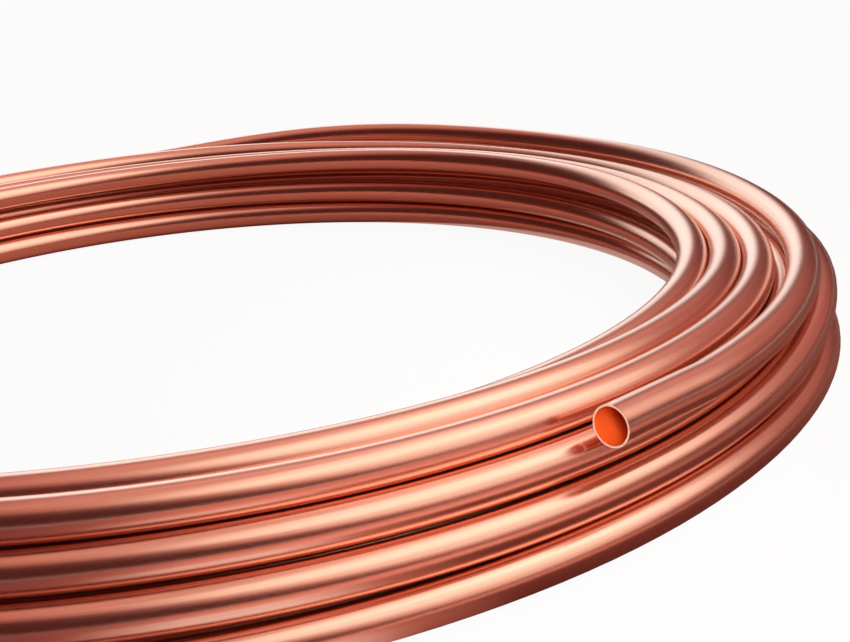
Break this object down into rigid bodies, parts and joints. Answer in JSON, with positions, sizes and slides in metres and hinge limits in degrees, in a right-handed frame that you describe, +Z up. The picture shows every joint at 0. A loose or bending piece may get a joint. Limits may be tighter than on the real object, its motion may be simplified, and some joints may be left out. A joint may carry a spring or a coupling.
{
  "type": "coil of copper tube",
  "caption": "Coil of soft copper tube wound in stacked turns round an open eye, lying flat, with one open cut end standing clear of the turns.",
  "frame": {"origin": "in the middle of the bottom outer turn, at the level of the floor that the bottom turns lie on; the axis of the packed turns is 6.5 mm to -X and 9 mm to -Y of it", "axes": "+Z up along the coil's axis; the free cut end of the tube is on the -Y side, towards +X, and opens towards -X and -Y"},
  "size_m": [0.6752, 0.6752, 0.0621],
  "materials": {
    "copper": "bright drawn copper"
  },
  "bodies": {
    "root": {"tube_coil": "copper"}
  },
  "joints": []
}
